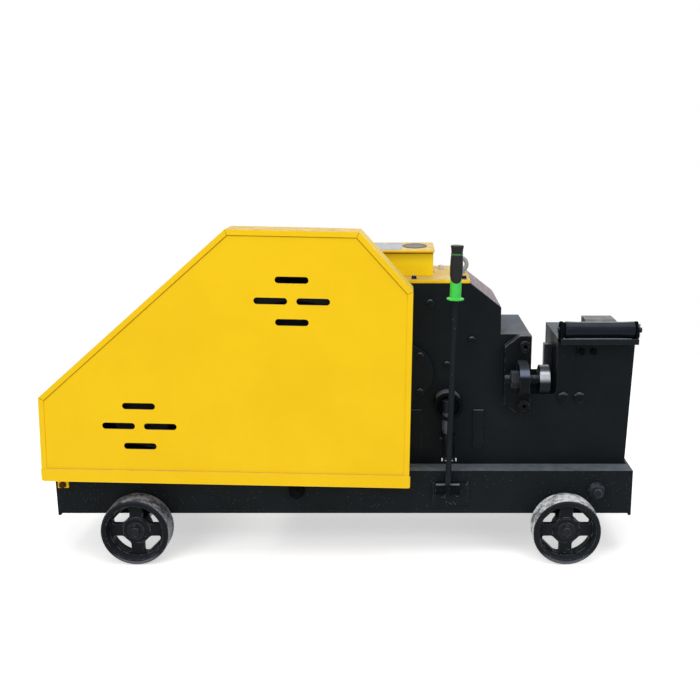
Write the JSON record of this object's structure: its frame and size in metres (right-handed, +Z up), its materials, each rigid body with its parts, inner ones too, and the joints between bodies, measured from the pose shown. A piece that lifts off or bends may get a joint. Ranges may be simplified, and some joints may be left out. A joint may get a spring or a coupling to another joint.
{
  "type": "rebar cutting machine",
  "caption": "Wheeled steel-bar cutter: motor, belts and flywheel under a slotted guard drive a geared crank whose ram closes a blade against a fixed jaw when a hand lever is pulled.",
  "frame": {"origin": "on the ground, under the middle of the bounding box", "axes": "+X along the chassis to the cutting end, +Y to the back, away from the guarded side, +Z up"},
  "size_m": [1.2996, 0.47, 0.733],
  "materials": {
    "yellow_paint": "satin yellow enamel",
    "black_paint": "satin black enamel, dusty",
    "black_cast_iron": "rough casting under black enamel",
    "wheel_iron": "black paint, tread worn to bare grey",
    "dark_fastener": "blackened steel, painted over",
    "machined_steel": "turned and milled",
    "bright_steel": "bright, lightly worn",
    "blade_steel": "hardened tool steel, ground edges",
    "grey_iron": "grey iron, machined rim",
    "bush_bronze": "turned bronze",
    "roller_finish": "glossy blue-black",
    "motor_paint": "satin grey enamel",
    "fan_plastic": "moulded",
    "belt_rubber": "matte",
    "green_plastic": "moulded, semi-gloss",
    "black_rubber": "matte, ribbed"
  },
  "bodies": {
    "base": {"axle_hangers": "black_paint", "axle_washers": "dark_fastener", "axles": "machined_steel", "bearing_caps": "black_cast_iron", "body_bolts": "dark_fastener", "channel_front": "black_paint", "channel_rear": "black_paint", "clutch_housing": "black_cast_iron", "end_plates": "black_paint", "fan_cowl": "motor_paint", "fixed_blade": "blade_steel", "foot_studs": "dark_fastener", "gearbox_housing": "black_cast_iron", "gearbox_rear_cover": "black_cast_iron", "hood_brackets": "yellow_paint", "hood_panel": "yellow_paint", "hood_rail": "yellow_paint", "hood_rim": "yellow_paint", "lever_bracket": "black_paint", "lever_pivot_pin": "machined_steel", "lifting_eye": "machined_steel", "lock_nut": "dark_fastener", "motor_housing": "motor_paint", "motor_plate": "black_paint", "oil_plug": "dark_fastener", "roller_bracket": "black_paint", "roller_shaft": "machined_steel", "shaft_bushes": "bush_bronze", "stop_bracket": "black_paint", "stop_bracket_screws": "dark_fastener", "switch_box": "yellow_paint", "switch_box_lid": "yellow_paint", "top_cover": "yellow_paint", "v_belts": "belt_rubber"},
    "flywheel": {"flywheel": "grey_iron", "drive_shaft": "machined_steel"},
    "motor_rotor": {"motor_shaft": "machined_steel", "motor_pulley": "grey_iron", "motor_fan": "fan_plastic"},
    "layshaft": {"layshaft": "machined_steel", "layshaft_gear": "machined_steel"},
    "bull_gear": {"bull_gear": "machined_steel"},
    "ram": {"ram": "machined_steel", "moving_blade": "blade_steel", "moving_blade_bolt": "dark_fastener"},
    "crankshaft": {"crankshaft": "machined_steel", "clutch_key": "machined_steel"},
    "connecting_rod": {"connecting_rod": "machined_steel"},
    "stop_screw": {"stop_screw": "bright_steel"},
    "lever": {"lever": "black_paint", "grip_core": "green_plastic", "grip_sleeve": "black_rubber"},
    "clutch_plunger": {"clutch_plunger": "bright_steel"},
    "pull_links": {"pull_links": "bright_steel"},
    "roller": {"roller": "roller_finish"},
    "wheel_front_left": {"wheel_front_left": "wheel_iron"},
    "wheel_front_right": {"wheel_front_right": "wheel_iron"},
    "wheel_rear_left": {"wheel_rear_left": "wheel_iron"},
    "wheel_rear_right": {"wheel_rear_right": "wheel_iron"}
  },
  "joints": [
    {"name": "wheel_front_left_spin", "type": "hinge", "parent": "base", "child": "wheel_front_left", "pos_m": [-0.454, -0.207, 0.075], "axis": [0, 1, 0], "continuous": true},
    {"name": "wheel_front_right_spin", "type": "hinge", "parent": "base", "child": "wheel_front_right", "pos_m": [0.492, -0.207, 0.075], "axis": [0, 1, 0], "continuous": true},
    {"name": "wheel_rear_left_spin", "type": "hinge", "parent": "base", "child": "wheel_rear_left", "pos_m": [-0.454, 0.207, 0.075], "axis": [0, 1, 0], "continuous": true},
    {"name": "wheel_rear_right_spin", "type": "hinge", "parent": "base", "child": "wheel_rear_right", "pos_m": [0.492, 0.207, 0.075], "axis": [0, 1, 0], "continuous": true},
    {"name": "flywheel_spin", "type": "hinge", "parent": "base", "child": "flywheel", "pos_m": [-0.093, -0.176, 0.41], "axis": [0, 1, 0], "continuous": true},
    {"name": "motor_spin", "type": "hinge", "parent": "base", "child": "motor_rotor", "pos_m": [-0.431, -0.176, 0.323], "axis": [0, 1, 0], "continuous": true},
    {"name": "layshaft_spin", "type": "hinge", "parent": "base", "child": "layshaft", "pos_m": [-0.02092, 0, 0.27845], "axis": [0, 1, 0], "continuous": true},
    {"name": "bull_gear_spin", "type": "hinge", "parent": "base", "child": "bull_gear", "pos_m": [0.135, -0.076, 0.41], "axis": [0, 1, 0], "continuous": true},
    {"name": "ram_slide", "type": "slide", "parent": "base", "child": "ram", "axis": [1, 0, 0], "range_m": [0, 0.048]},
    {"name": "crank_turn", "type": "hinge", "parent": "base", "child": "crankshaft", "pos_m": [0.135, 0, 0.41], "axis": [0, -1, 0], "range_deg": [0, 180]},
    {"name": "rod_swing", "type": "hinge", "parent": "crankshaft", "child": "connecting_rod", "pos_m": [0.111, 0, 0.41], "axis": [0, -1, 0], "range_deg": [-180, 0]},
    {"name": "stop_screw_slide", "type": "slide", "parent": "base", "child": "stop_screw", "axis": [1, 0, 0], "range_m": [-0.018, 0.008]},
    {"name": "lever_pull", "type": "hinge", "parent": "base", "child": "lever", "pos_m": [0.2315, -0.19, 0.16], "axis": [1, 0, 0], "range_deg": [0, 7]},
    {"name": "plunger_slide", "type": "slide", "parent": "base", "child": "clutch_plunger", "axis": [0, 0, 1], "range_m": [-0.013, 0]},
    {"name": "link_swing", "type": "hinge", "parent": "lever", "child": "pull_links", "pos_m": [0.23342, -0.19, 0.23], "axis": [1, 0, 0], "range_deg": [-21.2, 0]},
    {"name": "roller_spin", "type": "hinge", "parent": "base", "child": "roller", "pos_m": [0.558, -0.146, 0.51], "axis": [1, 0, 0], "continuous": true}
  ],
  "couplings": [
    {"joint": "motor_spin", "follows": "flywheel_spin", "ratio": 3.5652},
    {"joint": "layshaft_spin", "follows": "flywheel_spin", "ratio": -0.25},
    {"joint": "bull_gear_spin", "follows": "flywheel_spin", "ratio": 0.06875},
    {"joint": "crank_turn", "follows": "ram_slide", "rad_per_m": 65.45},
    {"joint": "rod_swing", "follows": "ram_slide", "rad_per_m": -65.45},
    {"joint": "plunger_slide", "follows": "lever_pull", "m_per_rad": -0.10641},
    {"joint": "link_swing", "follows": "lever_pull", "ratio": -3.0286}
  ]
}
